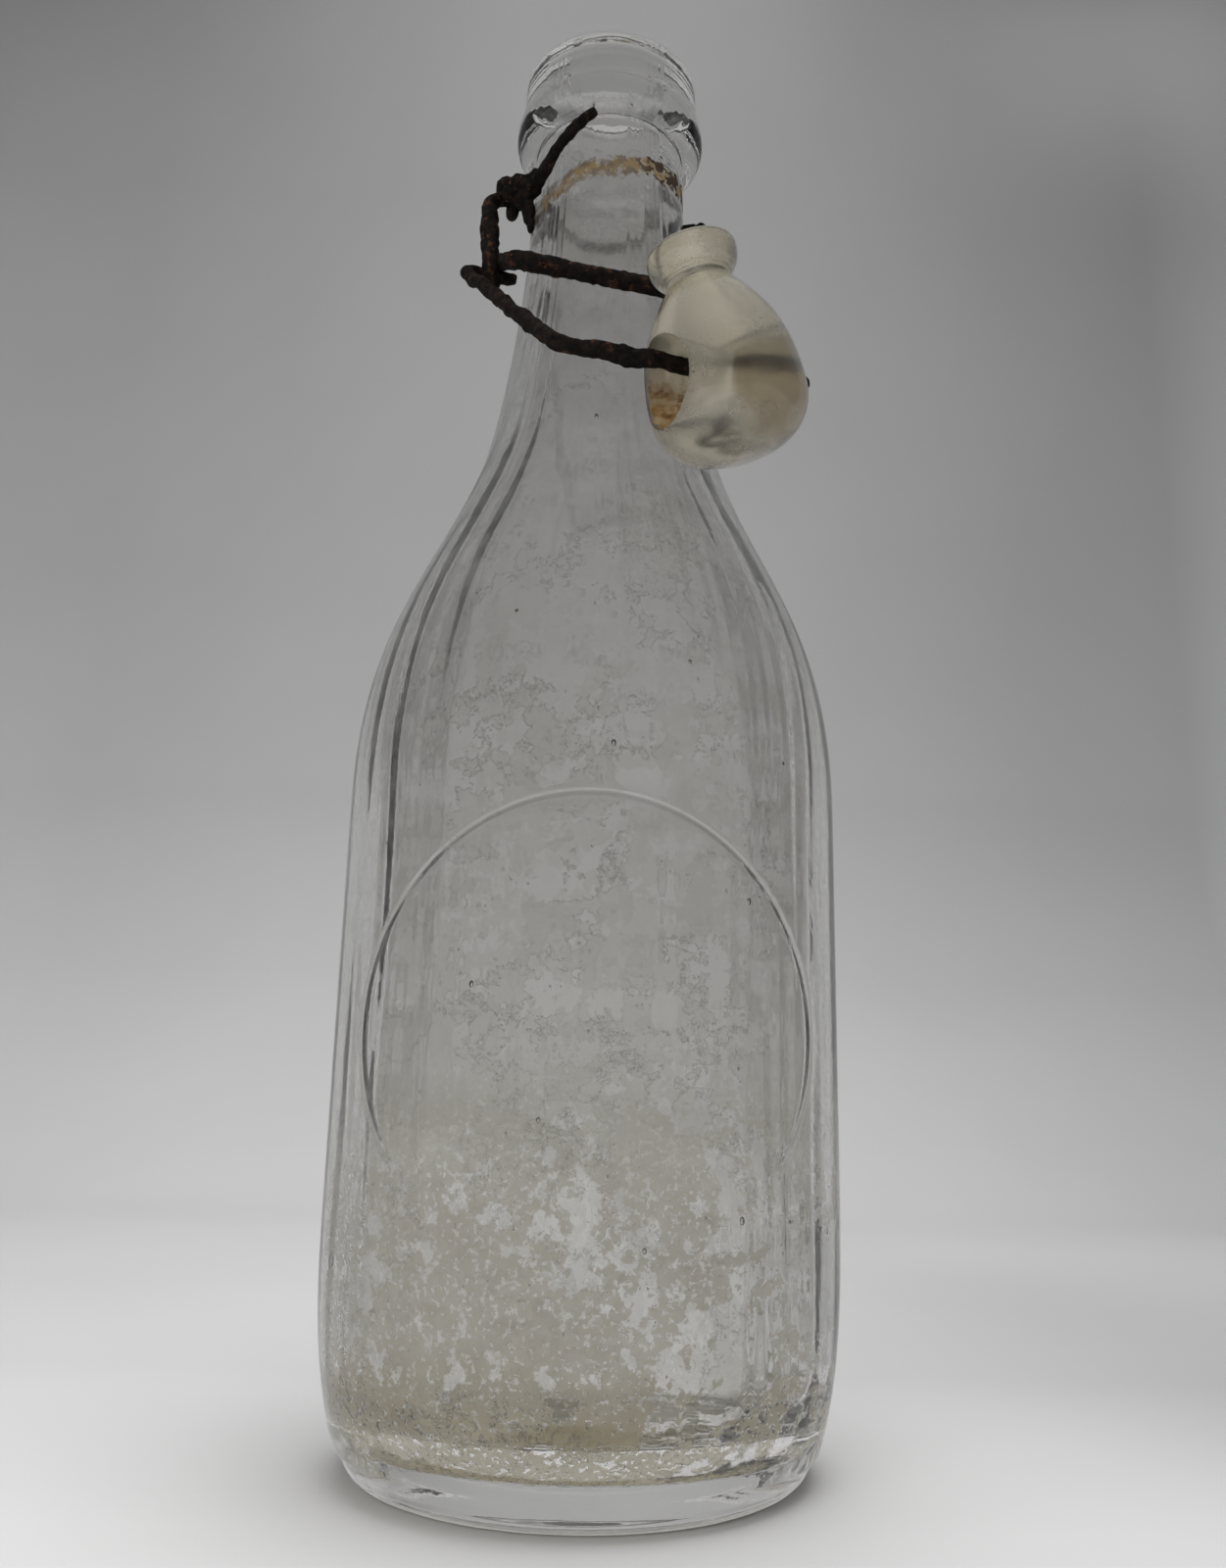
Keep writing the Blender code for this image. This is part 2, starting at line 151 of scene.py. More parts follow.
def uneven(radius, height, angle, inner):
    """How far the glass stands out of true, in metres."""
    around = Vector((cos(angle), sin(angle), 0.0))
    streaks = noise.noise(around * 5.5 + Vector((0.0, 0.0, height * 9.0)))
    fine = noise.noise(around * 17.0 + Vector((3.1, 0.0, height * 26.0)))
    waves = noise.noise(Vector((cos(angle) * 1.6, sin(angle) * 1.6, height * 42.0 + 7.0)))
    calm = min(1.0, radius / 0.024)
    if inner:
        return calm * (0.00034 * streaks + 0.00010 * fine + 0.00020 * waves)
    return calm * (0.00010 * streaks + 0.00003 * fine + 0.00006 * waves) - 0.00004


def plate_relief(height, angle):
    """The ring left by the round mould plate, a true circle from its front, and its flatter field."""
    side = (angle - PLATE_BEARING + pi) % (2 * pi) - pi
    if abs(side) > 1.1:
        return 0.0
    along = BODY_RADIUS * sin(side)
    rise = height - PLATE_Z
    from_ring = hypot(along, rise) - PLATE_RADIUS
    if from_ring > 0.003:
        return 0.0
    shown = min(1.0, max(0.0, (rise - PLATE_FOOT) / PLATE_FADE))
    inside = min(1.0, max(0.0, 0.5 - from_ring / 0.0008))
    ridge = exp(-((from_ring / RING_WIDTH) ** 2)) * RING_HEIGHT
    field = inside * (0.00020 * (along / PLATE_RADIUS) ** 2 - 0.00007)
    return shown * (ridge + field)


def bearings():
    """Angles round the bottle, closer together across the plate."""
    across = [PLATE_BEARING + radians(0.5 * i - 55.0) for i in range(220)]
    behind = [PLATE_BEARING + radians(55.0) + radians(250.0) * i / 120 for i in range(120)]
    return across + behind


def seed_bubble(vertices, faces, centre, size):
    """A small closed bubble in the thickness of the glass, drawn out upright."""
    form = bmesh.new()
    bmesh.ops.create_icosphere(form, subdivisions=2, radius=1.0)
    first = len(vertices)
    for vertex in form.verts:
        x, y, z = [along * size for along in vertex.co]
        vertices.append((centre[0] + x, centre[1] + y, centre[2] + z * 1.5))
    for face in form.faces:
        faces.append(tuple(first + vertex.index for vertex in reversed(face.verts)))
    form.free()


def seeds():
    """Places and sizes of the seeds: scattered through the walls, with a few larger ones in front."""
    found = []
    for i in range(70):
        pick = Vector((i * 1.37, 4.1, 0.3))
        angle = 2 * pi * (i * 0.618034 % 1.0)
        height = 0.016 + 0.112 * (i * 0.754878 % 1.0)
        depth = 0.0012 + 0.0010 * (0.5 + 0.5 * noise.noise(pick))
        found.append((angle, height, depth, 0.00009 + 0.00012 * abs(noise.noise(pick * 2.3))))
    for side, height, size in ((-3.0, 0.1405, 0.00028), (4.0, 0.0880, 0.00030), (21.0, 0.0995, 0.00022),
                               (-24.0, 0.0590, 0.00030), (-9.0, 0.0438, 0.00024), (33.0, 0.0330, 0.00034),
                               (35.0, 0.0700, 0.00030), (12.0, 0.0300, 0.00026)):
        found.append((PLATE_BEARING + radians(side), height, 0.0014, size))
    return found


def ring_faces(low, high):
    """Faces between two rings of as many vertices; a ring on the axis repeats its one vertex."""
    faces = []
    for i in range(len(low)):
        j = (i + 1) % len(low)
        faces.append(tuple(dict.fromkeys([low[i], low[j], high[j], high[i]])))
    return faces


def mesh_object(name, vertices, faces):
    """A smooth mesh in the scene."""
    mesh = bpy.data.meshes.new(name)
    mesh.from_pydata(vertices, [], faces)
    mesh.shade_smooth()
    made = bpy.data.objects.new(name, mesh)
    bpy.context.collection.objects.link(made)
    return made


def blown_glass(name):
    """The bottle's mesh, with the faces of its inside in a slot of their own."""
    outer = outside_line()
    inner = inside_line()
    angles = bearings()
    around = len(angles)
    vertices = []
    rings = []
    for place, (radius, height) in enumerate(outer + inner):
        if radius < 1e-6:
            rings.append([len(vertices)] * around)
            vertices.append((0.0, 0.0, height))
            continue
        rings.append(list(range(len(vertices), len(vertices) + around)))
        outward = place < len(outer)
        by_plate = outward and PLATE_LOW < height < PLATE_HIGH
        for angle in angles:
            out = radius + uneven(radius, height, angle, not outward)
            if by_plate:
                out += plate_relief(height, angle)
            vertices.append((out * cos(angle), out * sin(angle), height))
    faces = []
    inside = []
    for place, (low, high) in enumerate(zip(rings, rings[1:])):
        faces += ring_faces(low, high)
        inside += [1 if place >= len(outer) + RIM_ROWS else 0] * around
    outline = [point for point in outer if point.y > 0.010]
    for angle, height, depth, size in seeds():
        radius = min(outline, key=lambda point: abs(point.y - height)).x - depth
        seed_bubble(vertices, faces, (radius * cos(angle), radius * sin(angle), height), size)
    inside += [0] * (len(faces) - len(inside))
    made = mesh_object(name, vertices, faces)
    made.data.validate()
    made.data.polygons.foreach_set("material_index", inside)
    return made


def add(tree, kind, **settings):
    """A shader node with its settings, and its sockets' values by name or number in values=."""
    values = settings.pop("values", {})
    made = tree.nodes.new(kind)
    for key, value in settings.items():
        setattr(made, key, value)
    for key, value in values.items():
        made.inputs[key].default_value = value
    return made


def join(*pairs):
    """Link each pair of sockets."""
    for source, target in pairs:
        source.id_data.links.new(source, target)


def ramp(stops, source):
    """A colour ramp of (place, colour) stops fed by a socket."""
    made = add(source.id_data, "ShaderNodeValToRGB")
    while len(made.color_ramp.elements) < len(stops):
        made.color_ramp.elements.new(0.5)
    for element, (place, color) in zip(made.color_ramp.elements, stops):
        element.position = place
        element.color = (*color, 1.0) if isinstance(color, tuple) else (color, color, color, 1.0)
    join((source, made.inputs["Fac"]))
    return made.outputs["Color"]


def tree_of(*values):
    """The node tree of the first socket among the values."""
    return next(value.id_data for value in values if hasattr(value, "id_data"))


def maths(operation, a, b=None, c=None):
    """A Math node on sockets or numbers; returns its output."""
    made = add(tree_of(a, b, c), "ShaderNodeMath", operation=operation)
    for slot, value in enumerate((a, b, c)):
        if value is None:
            continue
        if isinstance(value, (int, float)):
            made.inputs[slot].default_value = value
        else:
            join((value, made.inputs[slot]))
    return made.outputs[0]


def times(a, b):
    return maths("MULTIPLY", a, b)


def plus(a, b):
    return maths("ADD", a, b)


def less(a, b):
    return maths("SUBTRACT", a, b)


def most(a, b):
    return maths("MAXIMUM", a, b)


def axes(place):
    """The X, Y and Z of a place socket."""
    made = add(place.id_data, "ShaderNodeSeparateXYZ")
    join((place, made.inputs[0]))
    return made.outputs


def bumped(height, strength, distance, under=None):
    """A Bump node over a height socket, on top of another's normal where one is given."""
    made = add(height.id_data, "ShaderNodeBump", values={"Strength": strength, "Distance": distance})
    join((height, made.inputs["Height"]))
    if under is not None:
        join((under, made.inputs["Normal"]))
    return made.outputs[0]


def span(value, low, high, to_low=0.0, to_high=1.0):
    """A smooth step from one value to another as a socket's value passes from low to high."""
    made = add(value.id_data, "ShaderNodeMapRange", interpolation_type="SMOOTHSTEP")
    for slot, number in ((1, low), (2, high), (3, to_low), (4, to_high)):
        made.inputs[slot].default_value = number
    join((value, made.inputs[0]))
    return made.outputs[0]


def cloud(place, scale, detail, roughness, stretch=1.0, shift=(0.0, 0.0, 0.0)):
    """Soft noise over a place socket, drawn out along Z by a stretch under 1; returns 0 to 1."""
    tree = place.id_data
    mapping = add(tree, "ShaderNodeMapping", values={"Scale": (1.0, 1.0, stretch), "Location": shift})
    join((place, mapping.inputs["Vector"]))
    made = add(tree, "ShaderNodeTexNoise", values={"Scale": scale, "Detail": detail, "Roughness": roughness})
    join((mapping.outputs[0], made.inputs["Vector"]))
    return made.outputs[0]


def blend_color(share, a, b, mode="MIX"):
    """Mix two colours or sockets by a share."""
    made = add(tree_of(share, a, b), "ShaderNodeMix", data_type="RGBA", blend_type=mode)
    for slot, value in (("Factor", share), ("A", a), ("B", b)):
        socket = next(s for s in made.inputs if s.name == slot and (slot == "Factor" or s.type == "RGBA"))
        if isinstance(value, (int, float)):
            socket.default_value = value
        elif isinstance(value, tuple):
            socket.default_value = (*value, 1.0)
        else:
            join((value, socket))
    return next(s for s in made.outputs if s.type == "RGBA")


def new_material(name):
    """A material with its Principled shader and its object coordinates."""
    made = bpy.data.materials.new(name)
    made.use_nodes = True
    place = add(made.node_tree, "ShaderNodeTexCoord").outputs["Object"]
    return made, made.node_tree.nodes["Principled BSDF"], place


def settle(shader, **values):
    """Constants on the shader's sockets, or the sockets that feed them."""
    for title, value in values.items():
        socket = shader.inputs[title.replace("_", " ")]
        if isinstance(value, float):
            socket.default_value = value
        else:
            join((value, socket))


def new_group(name, inputs, outputs):
    """A node group with a Place input, float inputs of given values and named outputs."""
    made = bpy.data.node_groups.new(name, "ShaderNodeTree")
    made.interface.new_socket("Place", in_out="INPUT", socket_type="NodeSocketVector")
    for title, value in inputs:
        made.interface.new_socket(title, in_out="INPUT", socket_type="NodeSocketFloat").default_value = value
    for title, kind in outputs:
        made.interface.new_socket(title, in_out="OUTPUT", socket_type=kind)
    return made, add(made, "NodeGroupInput"), add(made, "NodeGroupOutput")


def use_group(group, place, **values):
    """A node group of its own values beside a place socket."""
    made = add(place.id_data, "ShaderNodeGroup", node_tree=group)
    join((place, made.inputs["Place"]))
    for title, value in values.items():
        made.inputs[title.replace("_", " ")].default_value = value
    return made


# Small seeds and pits, and the faint hammered skin of mould-blown glass, are in both glasses.
hammered, given, kept = new_group(
    "hammered_skin",
    [("Scale", 300.0), ("Pit Scale", 260.0)],
    [("Height", "NodeSocketFloat"), ("Pits", "NodeSocketFloat")],
)
skin = add(hammered, "ShaderNodeTexNoise", values={"Detail": 3.0, "Roughness": 0.5})
join((given.outputs["Place"], skin.inputs["Vector"]))
join((given.outputs["Scale"], skin.inputs["Scale"]))
pit_cells = add(hammered, "ShaderNodeTexVoronoi", values={"Randomness": 1.0})
join((given.outputs["Place"], pit_cells.inputs["Vector"]))
join((given.outputs["Pit Scale"], pit_cells.inputs["Scale"]))
pit_near = span(pit_cells.outputs["Distance"], 0.03, 0.085, 1.0, 0.0)
pit_pick = add(hammered, "ShaderNodeSeparateColor")
join((pit_cells.outputs["Color"], pit_pick.inputs[0]))
pit_few = span(pit_pick.outputs[0], 0.86, 0.90)
pits = times(pit_near, pit_few)
join((skin.outputs[0], kept.inputs["Height"]), (pits, kept.inputs["Pits"]))


# Where the last contents dried on is in the glass of the inside and in the film on it.
drying, given, kept = new_group(
    "drying_out",
    [],
    [("Thick", "NodeSocketFloat"), ("Bloom", "NodeSocketFloat"), ("Drift", "NodeSocketFloat")],
)
place = given.outputs["Place"]
x, y, z = axes(place)
flakes = cloud(place, 330.0, 7.0, 0.66)
drift = cloud(place, 70.0, 3.0, 0.5, shift=(0.4, 0.1, 0.0))
edge = plus(flakes, times(less(drift, 0.5), 0.60))
edge = plus(edge, span(x, -0.018, 0.012, -0.095, 0.024))
# most of the flaking is between the floor and a third of the way up
belt = span(z, 0.008, 0.018)
belt = times(belt, span(z, 0.028, 0.048, 1.0, 0.0))
edge = plus(edge, times(belt, 0.12))
clean = span(edge, 0.570, 0.584)
grains = cloud(place, 1450.0, 3.0, 0.6, shift=(0.7, 0.0, 0.0))
clean = most(clean, times(span(grains, 0.56, 0.61), 0.8))
thick = less(1.0, clean)
thick = times(thick, span(z, 0.024, 0.062, 1.0, 0.0))
thick = times(thick, span(y, -0.008, 0.012, 1.0, 0.22))
bloom = cloud(place, 170.0, 7.0, 0.70, shift=(0.0, 0.3, 0.2))
join((thick, kept.inputs["Thick"]), (bloom, kept.inputs["Bloom"]), (drift, kept.inputs["Drift"]))


def outer_glass():
    made, shader, place = new_material("bottle_glass_outside")
    settle(shader, Transmission_Weight=1.0, IOR=1.5, Roughness=0.0)
    skin = use_group(hammered, place, Scale=240.0, Pit_Scale=230.0)
    tint = cloud(place, 55.0, 5.0, 0.6)
    color = ramp([(0.30, (0.945, 0.940, 0.922)), (0.70, (0.972, 0.968, 0.955))], tint)
    color = blend_color(skin.outputs["Pits"], color, (0.06, 0.045, 0.035))
    drawn = bumped(cloud(place, 420.0, 2.0, 0.5, stretch=0.05), 0.3, 0.00003)
    finer = bumped(skin.outputs["Height"], 0.5, 0.00008, drawn)
    # the crisp crest of the plate's ring
    east, north, up = axes(place)
    facing_x, facing_y = cos(PLATE_BEARING), sin(PLATE_BEARING)
    along = maths("MULTIPLY_ADD", east, -facing_y, times(north, facing_x))
    toward = maths("MULTIPLY_ADD", east, facing_x, times(north, facing_y))
    rise = less(up, PLATE_Z)
    away = maths("SQRT", maths("MULTIPLY_ADD", along, along, times(rise, rise)))
    off_ring = maths("ABSOLUTE", less(away, PLATE_RADIUS))
    crest = span(off_ring, 0.0, 0.00050, 1.0, 0.0)
    crest = times(crest, span(rise, PLATE_FOOT, PLATE_FOOT + PLATE_FADE))
    crest = times(crest, span(toward, 0.0, 0.010))
    settle(shader, Base_Color=color, Normal=bumped(crest, 1.0, 0.00022, finer))
    return made


def inner_glass():
    made, shader, place = new_material("bottle_glass_inside")
    settle(shader, Transmission_Weight=1.0, IOR=1.5)
    height = axes(place)["Z"]
    dried = use_group(drying, place)
    # a grey bloom dulls the upper body and the shoulder
    bloom = cloud(place, 95.0, 6.0, 0.68, shift=(0.0, 0.3, 0.2))
    clear = ramp([(0.40, (0.992, 0.990, 0.978)), (0.60, (0.962, 0.958, 0.940))], bloom)
    dull = ramp([(0.40, (0.850, 0.843, 0.835)), (0.60, (0.800, 0.790, 0.778))], bloom)
    above = span(height, 0.050, 0.112)
    dulled = times(above, span(height, 0.158, 0.176, 1.0, 0.0))
    color = blend_color(dulled, clear, dull)
    color = blend_color(dried.outputs["Thick"], color, (0.90, 0.82, 0.63))
    # the neck's bore is etched and a little rough
    etched = span(height, 0.188, 0.197, 0.11, 0.0)
    etched = times(etched, span(height, 0.100, 0.165))
    # where the film sticks to the glass, it shows even at the glancing edges
    stuck = times(dried.outputs["Thick"], 0.80)
    haze = span(dried.outputs["Bloom"], 0.42, 0.60, 0.05, 0.22)
    alpha = less(1.0, most(stuck, haze))
    drawn = times(cloud(place, 380.0, 2.0, 0.5, stretch=0.06), 0.35)
    relief = plus(cloud(place, 120.0, 4.0, 0.5), drawn)
    normal = bumped(relief, 0.35, 0.0002)
    settle(shader, Base_Color=color, Roughness=etched, Alpha=alpha, Normal=normal)
    return made


bottle = blown_glass("bottle_blown")
bottle.data.materials.append(outer_glass())
bottle.data.materials.append(inner_glass())
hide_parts("bottle")
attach(bottle, "glass")

# The dried film: a dull yellow-grey skin that the last contents left on the inside. It is thick
# in the lower third, where it has flaked off in clean, sharp-edged patches, and thin above.

FILM_GAP = 0.00014
FILM_TOP = 0.1925


def film_skin():
    """A skin just clear of the glass, from under the lip down over the floor."""
    line = []
    for point in inside_line():
        if point.x > 0.0004 and point.y < FILM_TOP:
            off_floor = FILM_GAP if point.y < 0.0160 else 0.0
            line.append(Vector((point.x - FILM_GAP, point.y + off_floor)))
    around = 176
    vertices = []
    for radius, height in line:
        for i in range(around):
            angle = 2 * pi * i / around
            out = radius + uneven(radius, height, angle, True)
            vertices.append((out * cos(angle), out * sin(angle), height))
    faces = []
    for ring in range(len(line) - 1):
        for i in range(around):
            j = (i + 1) % around
            low, high = ring * around, (ring + 1) * around
            faces.append((low + i, high + i, high + j, low + j))
    return mesh_object("dried_film", vertices, faces)


def film_residue():
    made, shader, place = new_material("dried_film_residue")
    z = axes(place)["Z"]
    dried = use_group(drying, place)
    bloom = dried.outputs["Bloom"]
    thin = times(span(bloom, 0.485, 0.515), span(z, 0.095, 0.135, 1.0, 0.0))
    tone = cloud(place, 210.0, 5.0, 0.65)
    color = ramp([(0.35, (0.70, 0.61, 0.42)), (0.65, (0.84, 0.77, 0.58))], tone)
    # drying marks: fine dark outlines round the blotches
    marks = span(maths("ABSOLUTE", less(bloom, 0.515)), 0.002, 0.010, 1.0, 0.0)
    marks = times(marks, span(dried.outputs["Drift"], 0.46, 0.56))
    color = blend_color(marks, color, (0.13, 0.11, 0.085))
    dirt = cloud(place, 900.0, 3.0, 0.7, shift=(0.2, 0.0, 0.5))
    specks = span(dirt, 0.690, 0.730)
    color = blend_color(specks, color, (0.10, 0.075, 0.05))
    # it lies thickest on the floor and in its corner
    thick = times(dried.outputs["Thick"], span(z, 0.011, 0.019, 0.85, 0.50))
    cover = most(thick, times(thin, 0.14))
    # a pale breath of it is left in the neck
    breath = times(span(z, 0.166, 0.175), span(z, 0.182, 0.189, 1.0, 0.0))
    breath = times(breath, span(bloom, 0.34, 0.60))
    color = blend_color(breath, color, (0.88, 0.87, 0.86))
    cover = most(cover, times(breath, 0.42))
    cover = most(cover, times(marks, 0.50))
    dots = times(specks, span(z, 0.02, 0.12, 0.60, 0.25))
    cover = most(cover, dots)
    settle(shader, Base_Color=color, Alpha=cover, Normal=bumped(tone, 0.6, 0.00015))
    settle(shader, Roughness=0.8, Specular_IOR_Level=0.1)
    return made


film = film_skin()
film.data.materials.append(film_residue())
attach(film, "glass")

# The stain on the neck: rust that ran from the tie wire, a narrow uneven band round the
# glass where the wire used to sit, with a run down the left side. It lies on the surface.

BAND_Z = 0.1868
BAND_WIDTH = 0.0052
BAND_MIDDLE = 0.62
STAIN_GAP = 0.00006


def stain_height(angle):
    """Height of the band's middle; the angle is counted from the front, positive to the right."""
    run = min(1.0, max(0.0, (-angle - radians(38.0)) / radians(40.0)))
    ripple = noise.noise(Vector((angle * 3.0, 0.0, 0.0)))
    return BAND_Z + 0.0020 * sin(angle) - 0.0030 * run + 0.0004 * ripple


def neck_surface(height, bearing):
    """Radius of the glass of the neck."""
    line = shoulder_and_neck()
    for low, high in zip(line, line[1:]):
        if low.y <= height <= high.y:
            radius = low.lerp(high, (height - low.y) / (high.y - low.y)).x
            return radius + uneven(radius, height, bearing, False)
    return NECK_RADIUS


def rust_band():
    around, up = 150, 14
    vertices = []
    for i in range(around + 1):
        share = i / around
        turn = radians(-128.0 + 250.0 * share)
        bearing = turn - pi / 2
        middle = stain_height(turn)
        for k in range(up + 1):
            height = middle + BAND_WIDTH * (k / up - BAND_MIDDLE)
            radius = neck_surface(height, bearing) + STAIN_GAP
            vertices.append((radius * cos(bearing), radius * sin(bearing), height))
    faces = []
    for i in range(around):
        for k in range(up):
            a = i * (up + 1) + k
            faces.append((a, a + up + 1, a + up + 2, a + 1))
    made = mesh_object("neck_rust", vertices, faces)
    mesh = made.data
    layer = mesh.uv_layers.new(name="band")
    for polygon in mesh.polygons:
        for corner in polygon.loop_indices:
            vertex = mesh.loops[corner].vertex_index
            layer.data[corner].uv = ((vertex // (up + 1)) / around, (vertex % (up + 1)) / up)
    return made


def rust_stain():
    made, shader, place = new_material("neck_rust_stain")
    along, level, _ = axes(add(made.node_tree, "ShaderNodeUVMap", uv_map="band").outputs[0])
    across = maths("ABSOLUTE", less(level, BAND_MIDDLE))
    ragged = cloud(place, 420.0, 5.0, 0.7)
    wash = less(times(ragged, 0.95), across)
    body = span(wash, 0.14, 0.28)
    grain = cloud(place, 780.0, 2.5, 0.55)
    crust = times(span(grain, 0.49, 0.53), span(wash, 0.06, 0.16))
    # it is thickest on the right
    crust = times(crust, span(along, 0.46, 0.60, 0.55, 1.0))
    bare = span(cloud(place, 760.0, 3.0, 0.6, shift=(0.0, 0.6, 0.1)), 0.40, 0.50)
    tone = cloud(place, 600.0, 3.0, 0.6)
    wash_color = ramp([(0.35, (0.120, 0.055, 0.004)), (0.62, (0.240, 0.145, 0.014))], tone)
    color = blend_color(crust, wash_color, (0.034, 0.014, 0.002))
    body = times(body, plus(times(bare, 0.52), 0.18))
    alpha = most(body, times(crust, 0.92))
    settle(shader, Base_Color=color, Alpha=alpha, Normal=bumped(grain, 0.6, 0.0001))
    settle(shader, Roughness=0.85, Specular_IOR_Level=0.15)
    return made


neck_stain = rust_band()
neck_stain.data.materials.append(rust_stain())
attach(neck_stain, "glass")

# The tie wire: soft iron wire bent round the neck under the lip, with an eye at each side
# for the lever's pins. It has rusted through in front: one end is sprung up over the lip,
# and the left eye is swollen into a lump of rust.

PIVOT = Vector((0.0, 0.0, 0.1854))
WIRE_RADIUS = 0.0010
TIE_RADIUS = 0.00085
SEAT_GAP = 0.0003
NECK_AT_TIE = NECK_RADIUS + 0.00025
EYE_SIDE = 0.0157
TIE_RING = NECK_AT_TIE + SEAT_GAP + TIE_RADIUS
TIE_EYE = WIRE_RADIUS + SEAT_GAP + TIE_RADIUS
TIE_GRIP_Z = PIVOT.z + TIE_EYE


def even_path(path, spacing):
    """The same path with points at an even spacing."""
    lengths = [0.0]
    for a, b in zip(path, path[1:]):
        lengths.append(lengths[-1] + (b - a).length)
    count = max(2, round(lengths[-1] / spacing))
    points = []
    at = 0
    for i in range(count + 1):
        distance = lengths[-1] * i / count
        while at < len(path) - 2 and lengths[at + 1] < distance:
            at += 1
        share = (distance - lengths[at]) / max(1e-9, lengths[at + 1] - lengths[at])
        points.append(path[at].lerp(path[at + 1], min(1.0, share)))
    return points


def eased(path, rounds):
    """The path with its small corners smoothed and its ends kept."""
    for _ in range(rounds):
        path = [path[0]] + [(a + b * 2 + c) / 4 for a, b, c in zip(path, path[1:], path[2:])] + [path[-1]]
    return path


def rusted_wire(name, path, radius, seed, swell=(), wander=0.00010):
    """Wire along a path, pitted and swollen by rust. swell: (share of the length, width, growth)."""
    path = eased(even_path(path, 0.00034), 3)
    around = 18
    count = len(path)
    side = (path[1] - path[0]).orthogonal().normalized()
    vertices = []
    for i, point in enumerate(path):
        ahead = (path[min(i + 1, count - 1)] - path[max(i - 1, 0)]).normalized()
        side = (side - ahead * side.dot(ahead)).normalized()
        other = ahead.cross(side)
        drift = Vector([noise.noise(point * 230.0 + Vector((seed, k * 9.1, 0.0))) for k in range(3)]) * wander
        share = i / (count - 1)
        grown = 1.0
        for middle, width, growth in swell:
            grown += growth * exp(-(((share - middle) / width) ** 2))
        end = min(i, count - 1 - i)
        tip = (0.72, 0.90, 0.98)[end] if end < 3 else 1.0
        for k in range(around):
            angle = 2 * pi * k / around
            out = side * cos(angle) + other * sin(angle)
            spot = point + out * radius
            scale = 0.15 * noise.noise(spot * 420.0 + Vector((seed, 0.0, 0.0)))
            scale += 0.13 * noise.noise(spot * 1250.0 + Vector((0.0, seed, 0.0)))
            flake = max(0.0, noise.noise(spot * 800.0 + Vector((0.0, 0.0, seed))) - 0.18) * 0.35
            thick = radius * (0.96 + scale + flake) * grown * tip
            vertices.append(point + drift + out * thick)
    faces = []
    rings = [range(i * around, (i + 1) * around) for i in range(count)]
    for low, high in zip(rings, rings[1:]):
        faces += ring_faces(low, high)
    for ring, flip in ((rings[0], True), (rings[-1], False)):
        centre = sum((vertices[k] for k in ring), Vector()) / around
        vertices.append(centre)
        for k in range(around):
            corner = (ring[k], ring[(k + 1) % around], len(vertices) - 1)
            faces.append(corner[::-1] if flip else corner)
    return mesh_object(name, vertices, faces)


def applied(made):
    """Put the object's modifiers into its mesh, which is returned."""
    bpy.context.view_layer.update()
    mesh = bpy.data.meshes.new_from_object(made.evaluated_get(bpy.context.evaluated_depsgraph_get()))
    made.modifiers.clear()
    made.data = mesh
    return mesh


def rust_lump(name, lumps, seed):
    """One mass of scale: overlapping lumps of (centre, half sizes) fused and roughened."""
    form = bmesh.new()
    for centre, sizes in lumps:
        matrix = Matrix.Translation(centre) @ Matrix.Diagonal((*sizes, 1.0))
        bmesh.ops.create_icosphere(form, subdivisions=3, radius=1.0, matrix=matrix)
    made = mesh_object(name, [], [])
    form.to_mesh(made.data)
    form.free()
    fuse = made.modifiers.new("fuse", "REMESH")
    fuse.mode = "VOXEL"
    fuse.voxel_size = 0.00014
    fused = applied(made)
    for vertex in fused.vertices:
        spot = vertex.co
        rise = 0.00030 * noise.noise(spot * 560.0 + Vector((seed, 0.0, 0.0)))
        rise += 0.00020 * noise.noise(spot * 1300.0 + Vector((0.0, seed, 0.0)))
        rise += 0.00009 * noise.noise(spot * 2800.0 + Vector((0.0, 0.0, seed)))
        vertex.co = spot + vertex.normal * rise
    fused.shade_smooth()
    return made


rusting, given, kept = new_group(
    "rusting",
    [("Bright Rust", 0.5), ("Scale", 500.0)],
    [("Color", "NodeSocketColor"), ("Roughness", "NodeSocketFloat"), ("Height", "NodeSocketFloat")],
)
place = given.outputs["Place"]
patches = add(rusting, "ShaderNodeTexNoise", values={"Detail": 5.0, "Roughness": 0.65})
join((place, patches.inputs["Vector"]), (given.outputs["Scale"], patches.inputs["Scale"]))
grit = cloud(place, 2600.0, 4.0, 0.7)
tone = cloud(place, 900.0, 4.0, 0.6)
# painted shade: the rust is nearly black, and its black here is set darker still, for wire seen against the
# light
black = ramp([(0.35, (0.003, 0.0025, 0.0025)), (0.65, (0.013, 0.009, 0.007))], tone)
brown = ramp([(0.34, (0.014, 0.007, 0.004)), (0.66, (0.105, 0.043, 0.020))], grit)
reach = times(given.outputs["Bright Rust"], 0.16)
reach = plus(patches.outputs[0], reach)
reach = plus(reach, times(less(grit, 0.5), 0.35))
mask = span(reach, 0.63, 0.75)
color = blend_color(mask, black, brown)
rough = span(grit, 0.3, 0.7, 0.72, 0.95)
height = plus(times(grit, 0.6), tone)
join((color, kept.inputs["Color"]), (rough, kept.inputs["Roughness"]))
join((height, kept.inputs["Height"]))


def rusted_iron(name, bright, scale, grain):
    made, shader, place = new_material(name)
    rust = use_group(rusting, place, Bright_Rust=bright, Scale=scale)
    normal = bumped(rust.outputs["Height"], 0.8, grain)
    settle(shader, Base_Color=rust.outputs["Color"], Roughness=rust.outputs["Roughness"], Normal=normal)
    settle(shader, Metallic=0.0, Specular_IOR_Level=0.15)
    return made


